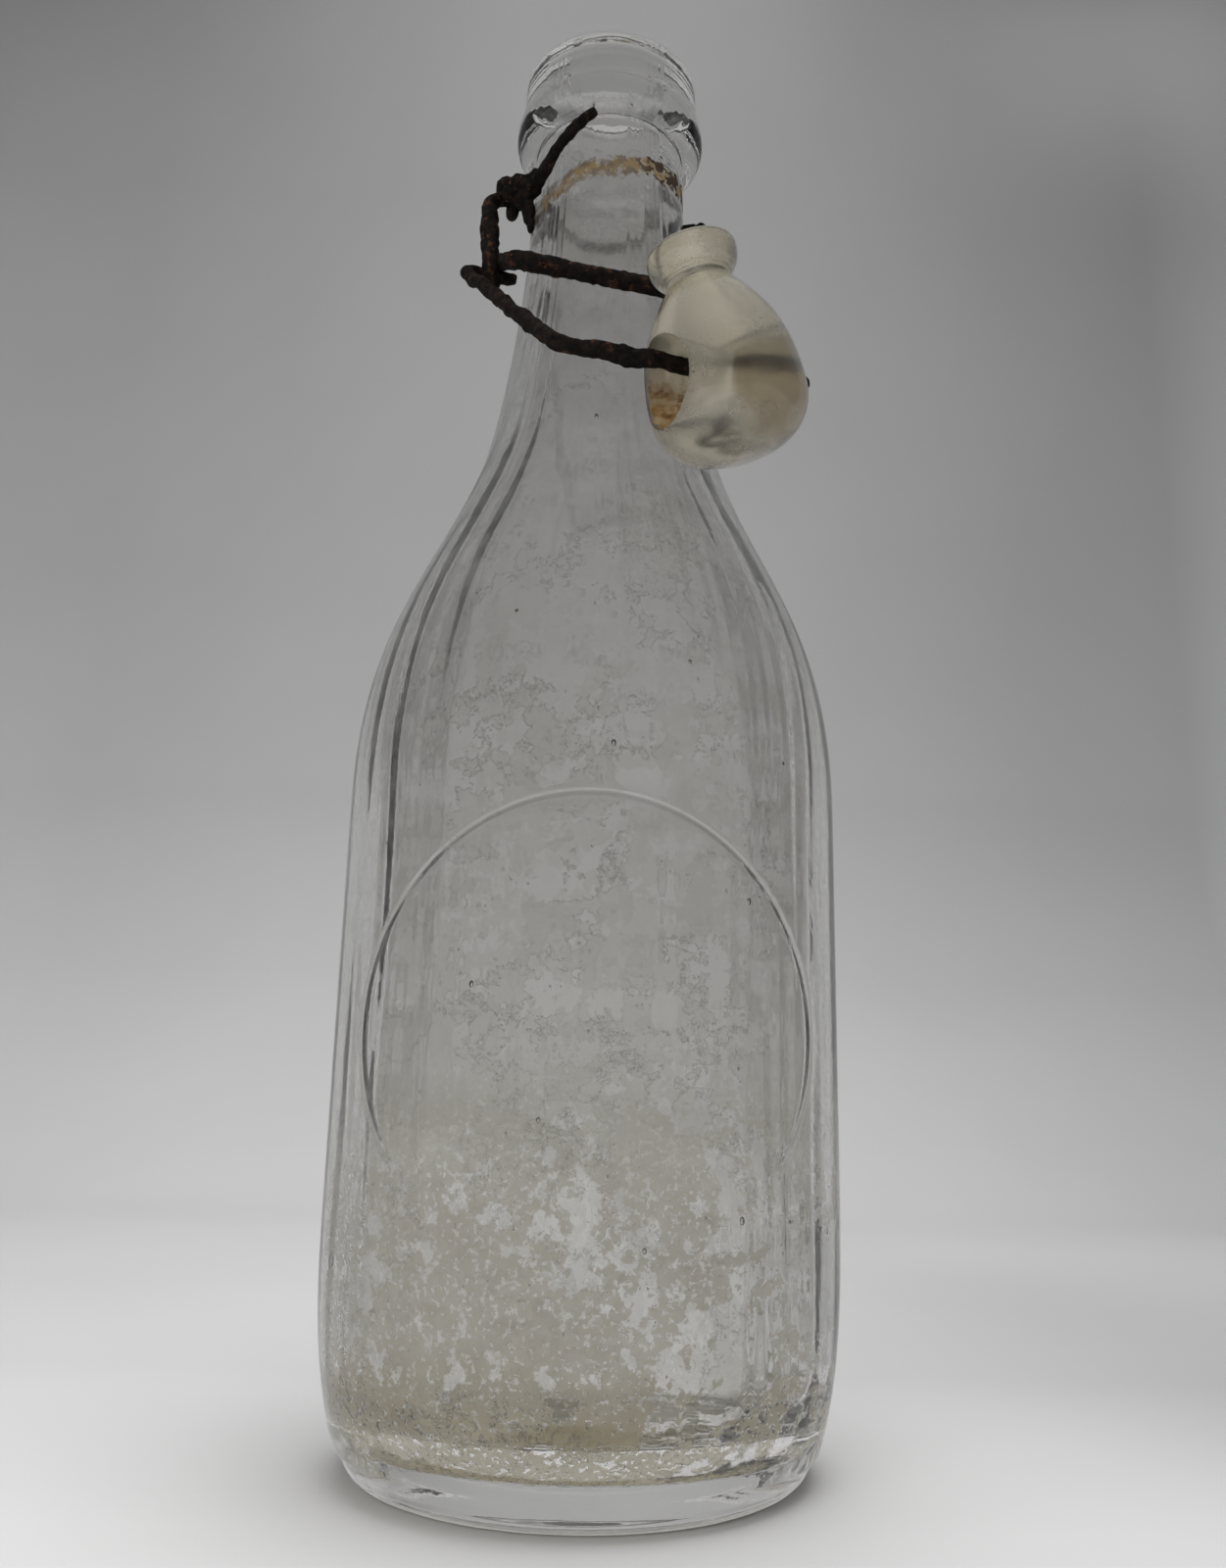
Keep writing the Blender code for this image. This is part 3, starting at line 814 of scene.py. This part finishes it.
def tie_path():
    """From the right eye behind the neck to the left eye."""
    eyes = []
    for side in (1, -1):
        eye = []
        for i in range(37):
            angle = radians(290.0) * i / 36
            eye.append(PIVOT + Vector((side * EYE_SIDE, -TIE_EYE * sin(angle), TIE_EYE * cos(angle))))
        eyes.append(eye)
    ring = []
    for i in range(61):
        angle = radians(14.0) + radians(152.0) * i / 60
        sprung = 0.0017 * exp(-((angle / radians(38.0)) ** 2))
        ring.append(Vector((TIE_RING * cos(angle), TIE_RING * sin(angle), TIE_GRIP_Z + sprung)))
    return list(reversed(eyes[0])) + ring + eyes[1]


def broken_end_path():
    """The sprung end, by its bearing and how far it stands out from and above the grip."""
    path = []
    for turn, out, up in (
        (196.0, 0.0010, -0.0024), (201.0, 0.0008, -0.0020), (208.0, 0.0010, -0.0017),
        (216.0, 0.0014, -0.0008), (222.0, 0.0020, 0.0001), (228.0, 0.0026, 0.0009),
        (234.0, 0.0034, 0.0016), (240.0, 0.0041, 0.0024), (248.0, 0.0050, 0.0032),
    ):
        angle = radians(turn)
        radius = TIE_RING + out
        path.append(Vector((radius * cos(angle), radius * sin(angle), TIE_GRIP_Z + up)))
    return path


tie_iron = rusted_iron("tie_wire_rust", 0.30, 700.0, 0.00026)
tie_pieces = [
    rusted_wire("tie_wire", tie_path(), TIE_RADIUS, 11.0, wander=0.00006),
    rusted_wire("tie_broken_end", broken_end_path(), TIE_RADIUS, 23.0, swell=((0.2, 0.2, 0.25),)),
    rust_lump("tie_rust_lump", (
        ((-0.0170, -0.0014, 0.1864), (0.0018, 0.0019, 0.0019)),
        ((-0.0154, -0.0028, 0.1860), (0.0021, 0.0019, 0.0022)),
        ((-0.0139, -0.0040, 0.1858), (0.0019, 0.0018, 0.0020)),
        ((-0.0131, -0.0057, 0.1862), (0.0014, 0.0014, 0.0014)),
        ((-0.0147, -0.0032, 0.1838), (0.0015, 0.0015, 0.0021)),
        ((-0.0139, -0.0036, 0.1816), (0.0010, 0.0012, 0.0019)),
        ((-0.0134, -0.0034, 0.1794), (0.0006, 0.0008, 0.0015)),
        ((-0.0170, -0.0028, 0.1846), (0.0011, 0.0012, 0.0014)),
    ), 5.0),
]
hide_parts("neck_wire")
for piece in tie_pieces:
    piece.data.materials.append(tie_iron)
    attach(piece, "glass")

# The lever: thicker iron wire. Its pins turn in the tie wire's eyes, its arms run down to a
# loop each for the bail, and its front run crosses before the neck. It is rusted all over.

HOOK = PIVOT + Vector((0.0, -0.0010, -0.0147))
LEVER_HALF_WIDTH = 0.0196
LOOP_LEAD = 0.0022
PIN_INNER_END = 0.0145
FRONT_OUT = 0.0163
FRONT_DROP = 0.0219


def bent(corners, radius):
    """Path through the corners with each inner corner bent to a radius."""
    path = [corners[0]]
    for before, corner, after in zip(corners, corners[1:], corners[2:]):
        back = (before - corner).normalized()
        ahead = (after - corner).normalized()
        turn = pi - back.angle(ahead)
        reach = radius * tan(turn / 2)
        centre = corner + (back + ahead).normalized() * (radius / cos(turn / 2))
        first = corner + back * reach - centre
        last = corner + ahead * reach - centre
        steps = max(1, ceil(turn / radians(9.0)))
        for i in range(steps + 1):
            path.append(centre + first.slerp(last, i / steps) * radius)
    path.append(corners[-1])
    return path


def mirrored(path):
    return [Vector((-point.x, point.y, point.z)) for point in reversed(path)]


def lever_path():
    """From the right pin through the right loop, over the front run, to the left pin."""
    loop_radius = WIRE_RADIUS * 2 + SEAT_GAP
    corner = PIVOT + Vector((LEVER_HALF_WIDTH - LOOP_LEAD, -FRONT_OUT, -FRONT_DROP))
    to_pivot = PIVOT - HOOK
    to_corner = corner - HOOK
    start = atan2(-to_pivot.y, to_pivot.z) + acos(loop_radius / hypot(to_pivot.y, to_pivot.z))
    end = atan2(-to_corner.y, to_corner.z) - acos(loop_radius / hypot(to_corner.y, to_corner.z)) + 2 * pi
    loop = []
    for i in range(49):
        share = i / 48
        angle = start + (end - start) * share
        across = LEVER_HALF_WIDTH - LOOP_LEAD * share
        loop.append(HOOK + Vector((across, -loop_radius * sin(angle), loop_radius * cos(angle))))
    pin = [PIVOT + Vector((across, 0.0, 0.0)) for across in (PIN_INNER_END, LEVER_HALF_WIDTH)] + [loop[0]]
    middle = Vector((0.0, corner.y - 0.0008, corner.z - 0.0008))
    half = bent(pin, 0.0026) + loop[1:-1] + bent([loop[-1], corner, middle], 0.0030)
    return half + mirrored(half[:-1])


lever = rusted_wire(
    "lever_wire", lever_path(), WIRE_RADIUS, 41.0, wander=0.00014,
    swell=(
        (0.56, 0.28, 0.36), (0.40, 0.05, 0.08), (0.62, 0.03, 0.10), (0.70, 0.012, 0.08), (0.905, 0.045, 0.40),
    ),
)
lever.data.materials.append(rusted_iron("lever_rust", 0.50, 620.0, 0.00026))
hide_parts("lever")
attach(lever, "lever")

# The bail: the same wire. Its pins hang in the lever's loops, its arms run down and forward,
# and its cross wire carries the stopper.

CROSS = HOOK + Vector((0.0, -0.0305, -0.0294))


def bail_path():
    """From the left pin by the cross wire to the right pin."""
    corners = []
    for level, across in (
        (HOOK, -0.0148), (HOOK, -0.0232), (CROSS, -0.0152), (CROSS, 0.0199), (HOOK, 0.0232), (HOOK, 0.0148),
    ):
        corners.append(level + Vector((across, 0.0, 0.0)))
    return bent(corners, 0.0016)


bail = rusted_wire(
    "bail_wire", bail_path(), WIRE_RADIUS, 67.0, wander=0.00030,
    swell=((0.50, 0.36, 0.12), (0.30, 0.02, 0.08), (0.44, 0.035, 0.20), (0.40, 0.012, -0.08)),
)
bail.data.materials.append(rusted_iron("bail_rust", 0.30, 680.0, 0.00026))
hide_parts("bail")
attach(bail, "bail")

# The stopper: a solid plug of straw-tinted glass, pressed in a mould, with a neck and flange
# at one end and a hole through it that opens out both ways for the wire. Rust from the wire
# has stained the hole, and its rubber washer has perished.

STOPPER_LENGTH = 0.0304
STOPPER_WIDE = 0.0107
STOPPER_WAIST = 0.0047
HOLE_DEPTH = 0.0192
HOLE_NARROW = 0.0024
HOLE_FLARE = 0.40
STOPPER_SIDE = 0.0080
STOPPER_SAG = 0.0011
STOPPER_TURN = Matrix.Rotation(radians(10.0), 4, "Z") @ Matrix.Rotation(radians(-16.0), 4, "Y")
STOPPER_PUT = Matrix.Translation(CROSS + Vector((STOPPER_SIDE, 0.0, -STOPPER_SAG))) @ STOPPER_TURN


def turned(name, profile, around):
    """A mesh turned from (radius, height) points that start and end on the axis."""
    vertices = []
    rings = []
    for radius, height in profile:
        if radius < 1e-7:
            rings.append([len(vertices)] * around)
            vertices.append((0.0, 0.0, height))
            continue
        rings.append(list(range(len(vertices), len(vertices) + around)))
        for i in range(around):
            angle = 2 * pi * i / around
            vertices.append((radius * cos(angle), radius * sin(angle), height))
    faces = []
    for low, high in zip(rings, rings[1:]):
        faces += ring_faces(low, high)
    made = mesh_object(name, vertices, faces)
    made.data.validate()
    return made


def hole_radius(along):
    """Radius of the hole, which opens out both ways from its narrow middle."""
    return HOLE_NARROW + HOLE_FLARE * (hypot(along, 0.0004) - 0.0004)


def stopper_line():
    """The stopper's outside, from its foot up over the shoulder, waist and flange."""
    cone_top = STOPPER_LENGTH - 0.0060
    widest = STOPPER_LENGTH - 0.0238
    line = [Vector((0.0, 0.0)), Vector((0.0020, 0.00008)), Vector((0.0034, 0.0004))]
    line += round_points((0.0039, 0.0076), 0.0068, -pi / 2 + 0.10, -pi / 18, 18)
    side = Vector((STOPPER_WIDE, widest + 0.0008))
    top = Vector((STOPPER_WAIST, cone_top))
    line.append(side)
    line += curve_points(side, side + Vector((0.0, 0.0078)), top + Vector((0.0042, -0.0052)), top, 34)
    line += round_points((STOPPER_WAIST, cone_top + 0.0008), 0.0006, -pi / 2, -pi * 3 / 2, 8)
    low = Vector((STOPPER_WAIST, cone_top + 0.0016))
    high = low + Vector((0.0015, 0.0027))
    line += curve_points(low, low + Vector((0.0007, 0.0001)), low + Vector((0.0014, 0.0008)), high, 12)
    line += round_points((0.0048, STOPPER_LENGTH - 0.0014), 0.0014, 0.0, pi / 2, 10)
    return line + [Vector((0.0030, STOPPER_LENGTH)), Vector((0.0, STOPPER_LENGTH))]


def hole_line():
    reach = STOPPER_WIDE * 1.3
    line = [Vector((0.0, -reach))]
    for i in range(-30, 31):
        along = reach * i / 30
        line.append(Vector((hole_radius(along), along)))
    return line + [Vector((0.0, reach))]


def pressed_stopper():
    made = turned("stopper_pressed", stopper_line(), 96)
    cutter = turned("stopper_hole_tool", hole_line(), 72)
    made.data.transform(Matrix.Translation((0.0, 0.0, HOLE_DEPTH - STOPPER_LENGTH)))
    cutter.data.transform(Matrix.Rotation(pi / 2, 4, "Y"))
    for part in (made, cutter):
        part.data.transform(STOPPER_PUT)
    cut = made.modifiers.new("hole", "BOOLEAN")
    cut.operation = "DIFFERENCE"
    cut.solver = "EXACT"
    cut.object = cutter
    mesh = applied(made)
    mesh.materials.clear()
    bpy.data.objects.remove(cutter, do_unlink=True)
    mesh.shade_smooth()
    mesh.set_sharp_from_angle(angle=radians(38.0))
    back = STOPPER_PUT.inverted()
    for face in mesh.polygons:
        spot = back @ face.center
        face.material_index = 1 if abs(hypot(spot.y, spot.z) - hole_radius(spot.x)) < 0.00009 else 0
    return made


def straw_glass(name, polished, worn_out):
    """The stopper's glass, with its roughness from where it is polished to where it is worn."""
    made, shader, place = new_material(name)
    settle(shader, Transmission_Weight=1.0, IOR=1.5)
    skin = use_group(hammered, place, Scale=420.0, Pit_Scale=420.0)
    tint = cloud(place, 130.0, 4.0, 0.6)
    color = ramp([(0.35, (0.930, 0.838, 0.610)), (0.65, (0.965, 0.900, 0.735))], tint)
    color = blend_color(times(skin.outputs["Pits"], 0.8), color, (0.20, 0.13, 0.07))
    worn = span(cloud(place, 260.0, 5.0, 0.7), 0.38, 0.66, polished, worn_out)
    normal = bumped(skin.outputs["Height"], 0.5, 0.00010)
    settle(shader, Base_Color=color, Roughness=worn, Normal=normal)
    settle(shader, Coat_Weight=0.8, Coat_Roughness=0.04)
    return made


stopper = pressed_stopper()
stopper.data.materials.append(straw_glass("stopper_straw_glass", 0.17, 0.29))
stopper.data.materials.append(straw_glass("stopper_hole_wall", 0.34, 0.55))
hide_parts("stopper")
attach(stopper, "stopper")

# The stain in the stopper's hole: rust that came off the wire and baked on the lower half of
# both mouths. It lies on the hole's wall, as a skin just clear of the glass.


def hole_skin():
    """A skin just clear of the hole's wall, kept inside the stopper's outline."""
    outline = [point - Vector((0.0, STOPPER_LENGTH - HOLE_DEPTH)) for point in stopper_line()]
    outline = [point for point in outline if abs(point.y) < 0.012 and point.x > 0.003]
    around = 72
    spots = []
    for wall, along in hole_line()[1:-1]:
        radius = wall - STAIN_GAP
        for i in range(around):
            angle = 2 * pi * i / around
            spots.append(Vector((along, radius * cos(angle), radius * sin(angle))))
    rows = len(spots) // around

    def inside(spot):
        near = min(outline, key=lambda point: abs(point.y - spot.z))
        return hypot(spot.x, spot.y) < near.x - 2 * STAIN_GAP

    faces = []
    for row in range(rows - 1):
        for i in range(around):
            j = (i + 1) % around
            face = (row * around + i, (row + 1) * around + i, (row + 1) * around + j, row * around + j)
            if all(inside(spots[corner]) for corner in face):
                faces.append(face)
    made = mesh_object("stopper_hole_stain", [STOPPER_PUT @ spot for spot in spots], faces)
    form = bmesh.new()
    form.from_mesh(made.data)
    bmesh.ops.delete(form, geom=[vertex for vertex in form.verts if not vertex.link_faces], context="VERTS")
    form.to_mesh(made.data)
    form.free()
    return made


def hole_rust():
    made, shader, place = new_material("stopper_hole_rust")
    x, _, z = axes(place)
    below = span(z, CROSS.z - 0.0030, CROSS.z + 0.0016, 1.0, 0.12)
    runs = cloud(place, 430.0, 6.0, 0.68)
    grain = cloud(place, 1500.0, 3.0, 0.6)
    baked = [(0.35, (0.10, 0.042, 0.009)), (0.48, (0.30, 0.155, 0.036)), (0.66, (0.56, 0.40, 0.170))]
    color = ramp(baked, runs)
    color = blend_color(span(grain, 0.62, 0.70), color, (0.06, 0.03, 0.015))
    patchy = times(below, span(runs, 0.34, 0.62, 0.90, 0.35))
    # the right mouth has shed most of it
    cover = times(patchy, span(x, 0.0055, 0.0115, 1.0, 0.38))
    settle(shader, Base_Color=color, Alpha=cover, Normal=bumped(grain, 0.6, 0.00012))
    settle(shader, Roughness=0.8, Specular_IOR_Level=0.2)
    return made


hole_stain = hole_skin()
hole_stain.data.materials.append(hole_rust())
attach(hole_stain, "stopper")

# The studio: one pale sheet that sweeps up behind the bottle, with light and shade painted on it
# so that it is lighter at the foot, and soft light from above and behind. The camera stands low
# and close, as for the photograph.

SHEET_HALF = 1.4
SHEET_NEAR = -1.3
SWEEP_START = 0.35
SWEEP_RADIUS = 0.22
WALL_RISE = 1.3
# painted light and shade: the paper's colour darkens up the wall, towards the back of the floor and to the
# sides
WALL_PAINTED_LIGHT = [
    (0.0, 0.43), (0.06, 0.42), (0.14, 0.385), (0.29, 0.38),
    (0.44, 0.31), (0.61, 0.255), (0.79, 0.197), (1.0, 0.150),
]
FLOOR_PAINTED_LIGHT = [(0.0, 0.64), (0.29, 0.62), (0.43, 0.48), (0.92, 0.44)]
SIDE_PAINTED_SHADE = [
    (0.0, 1.0), (0.17, 1.0), (0.25, 0.92), (0.45, 1.0),
    (0.60, 0.93), (0.72, 0.80), (0.80, 0.74), (0.85, 1.0),
]


def paper_sweep():
    """The sheet: flat under the bottle, curved up behind it, then upright."""
    line = [(SHEET_NEAR, 0.0)]
    for i in range(1, 25):
        line.append((SHEET_NEAR + (SWEEP_START - SHEET_NEAR) * i / 24, 0.0))
    for i in range(1, 25):
        angle = pi / 2 * i / 24
        line.append((SWEEP_START + SWEEP_RADIUS * sin(angle), SWEEP_RADIUS - SWEEP_RADIUS * cos(angle)))
    for i in range(1, 21):
        line.append((SWEEP_START + SWEEP_RADIUS, SWEEP_RADIUS + WALL_RISE * i / 20))
    vertices = [(x, y, z) for y, z in line for x in (-SHEET_HALF, SHEET_HALF)]
    faces = [(2 * i, 2 * i + 1, 2 * i + 3, 2 * i + 2) for i in range(len(line) - 1)]
    made = mesh_object("paper_sweep", vertices, faces)
    made.rotation_euler.z = radians(-15.0)
    return made


def span_linear(value, low, high):
    """How far a socket's value has come from low to high, from 0 to 1."""
    made = add(value.id_data, "ShaderNodeMapRange")
    made.inputs[1].default_value = low
    made.inputs[2].default_value = high
    join((value, made.inputs[0]))
    return made.outputs[0]


def sweep_paper():
    """Paper with painted light and shade: paler towards the foot of the wall and over the floor, and darker
    to the sides.
    """
    made, shader, place = new_material("sweep_paper")
    x, y, z = axes(place)
    # painted light: the wall's colour darkens as it rises, and the floor's darkens towards the back
    painted_wall_light = ramp(WALL_PAINTED_LIGHT, span_linear(z, 0.0, 0.8))
    floor = ramp(FLOOR_PAINTED_LIGHT, span_linear(y, -0.2, 0.4))
    # painted shade: the floor is darkened at the near right, as if the light fell off there
    near = times(span(x, 0.03, 0.13), span(y, 0.0, 0.30, 1.0, 0.0))
    floor = blend_color(near, floor, blend_color(1.0, floor, (0.70, 0.70, 0.70), "MULTIPLY"))
    color = blend_color(span(z, 0.0, 0.03), floor, painted_wall_light)
    # painted shade: the paper darkens towards both sides
    painted_side_shade = ramp(SIDE_PAINTED_SHADE, span_linear(x, -0.6, 0.6))
    color = blend_color(1.0, color, painted_side_shade, "MULTIPLY")
    # painted light: the upper right corner of the wall is lightened, as if it caught more light
    corner = times(span(z, 0.60, 0.80), span(x, 0.16, 0.42))
    color = blend_color(times(corner, 0.75), color, (0.29, 0.29, 0.29))
    mottle = ramp([(0.3, 0.40), (0.7, 0.60)], cloud(place, 9.0, 3.0, 0.5))
    color = blend_color(0.10, color, mottle, "OVERLAY")
    # painted light: to glossy and transmission rays the paper glows with its own colour, at least a set grey,
    # instead of being lit, so the glass shows it without the bottle's own shadow on it
    ray = add(made.node_tree, "ShaderNodeLightPath")
    in_glass = most(ray.outputs["Is Glossy Ray"], ray.outputs["Is Transmission Ray"])
    black = (0.0, 0.0, 0.0)
    pale = blend_color(1.0, color, (0.24, 0.24, 0.24), "LIGHTEN")
    settle(shader, Base_Color=blend_color(in_glass, color, black))
    settle(shader, Emission_Color=blend_color(in_glass, black, pale))
    settle(shader, Emission_Strength=1.0, Roughness=0.9, Specular_IOR_Level=0.1)
    return made


sweep = paper_sweep()
sweep.data.materials.append(sweep_paper())


def soft_lamp(name, place, aim, size, watts):
    """A broad lamp that neither the camera nor the glass sees."""
    lamp = bpy.data.lights.new(name, "AREA")
    lamp.shape = "RECTANGLE"
    lamp.size, lamp.size_y = size
    lamp.energy = watts
    made = bpy.data.objects.new(name, lamp)
    bpy.context.collection.objects.link(made)
    made.location = place
    made.rotation_euler = (Vector(aim) - Vector(place)).to_track_quat("-Z", "Y").to_euler()
    made.visible_camera = False
    made.visible_glossy = False
    made.visible_transmission = False


soft_lamp("overhead_lamp", (0.10, 0.10, 0.95), (0.0, 0.05, 0.1), (0.9, 0.7), 9.0)
soft_lamp("front_lamp", (-0.7, -0.8, 0.55), (0.0, 0.0, 0.1), (0.6, 0.6), 4.0)

room = bpy.data.worlds.new("room")
room.use_nodes = True
bpy.context.scene.world = room
sky = room.node_tree
background = sky.nodes["Background"]
east, north, up = axes(add(sky, "ShaderNodeTexCoord").outputs["Generated"])
upward = span_linear(up, -1.0, 1.0)
light = ramp([(0.0, 0.42), (0.5, 0.30), (0.72, 0.55), (1.0, 0.85)], upward)
# what the glass shows of the room is as grey as the paper, and darker behind the camera
tone = ramp([(0.0, 0.50), (0.5, 0.40), (0.70, 0.30), (1.0, 0.34)], upward)
depth = ramp([(0.0, 0.60), (0.30, 0.78), (0.60, 1.0)], span_linear(north, -1.0, 1.0))
flank = ramp([(0.0, 1.0), (0.45, 0.95), (0.80, 0.56), (1.0, 0.46)], maths("ABSOLUTE", east))
shown = blend_color(1.0, tone, depth, "MULTIPLY")
shown = blend_color(1.0, shown, flank, "MULTIPLY")
ray = add(sky, "ShaderNodeLightPath")
seen = most(ray.outputs["Is Camera Ray"], ray.outputs["Is Glossy Ray"])
seen = most(seen, ray.outputs["Is Transmission Ray"])
join((blend_color(seen, light, shown), background.inputs["Color"]))
background.inputs["Strength"].default_value = 1.0

camera = bpy.data.cameras.new("photo_camera")
camera.lens = 29.7225
camera.sensor_width = 36.0
camera.clip_start = 0.005
camera_object = bpy.data.objects.new("photo_camera", camera)
bpy.context.collection.objects.link(camera_object)
camera_object.location = (-0.047593, -0.177619, 0.046403)
camera_object.rotation_euler = (radians(103.63322), radians(-1.23423), radians(-16.19424))
bpy.context.scene.camera = camera_object

bpy.context.scene.view_settings.view_transform = "Standard"
